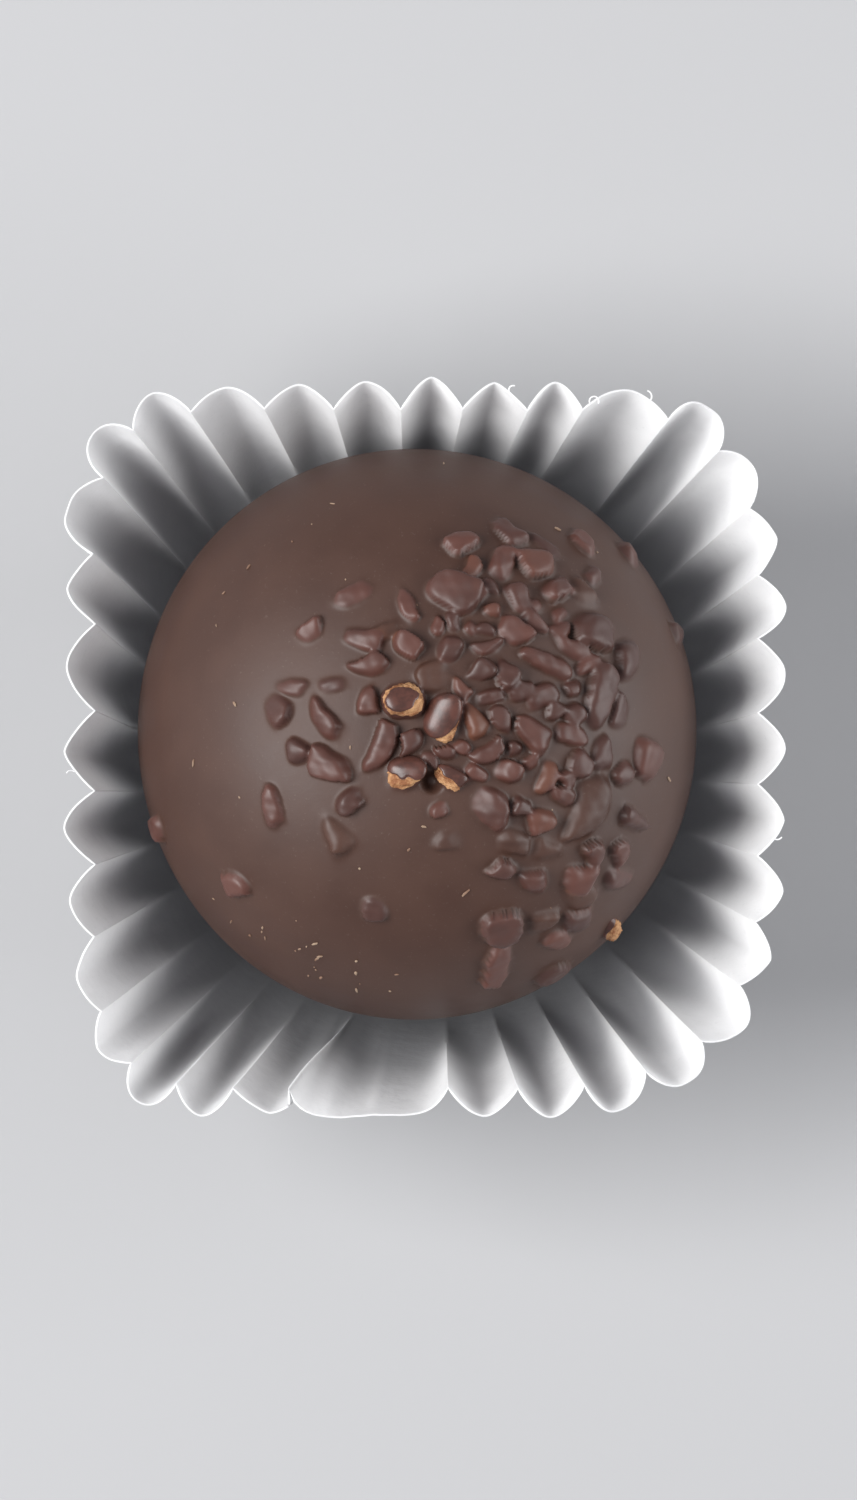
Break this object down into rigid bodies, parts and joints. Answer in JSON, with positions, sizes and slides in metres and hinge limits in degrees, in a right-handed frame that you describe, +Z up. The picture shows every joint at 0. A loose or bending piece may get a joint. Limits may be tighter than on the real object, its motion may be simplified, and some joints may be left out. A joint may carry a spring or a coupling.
{
  "type": "chocolate truffle",
  "caption": "Round chocolate truffle with a satin coat over chopped cocoa nibs, sitting in a pleated white paper case squeezed to a rounded square.",
  "frame": {"origin": "under the middle of the paper case's box, on the surface it stands on", "axes": "+Z up; the rim's longer side runs along Y, and the case's opened-out wide pleat is at -Y"},
  "size_m": [0.0378, 0.0392, 0.0266],
  "materials": {
    "chocolate": "satin dark chocolate coat",
    "paper": "matt white greaseproof paper"
  },
  "bodies": {
    "root": {"truffle": "chocolate", "paper_case": "paper"}
  },
  "joints": []
}
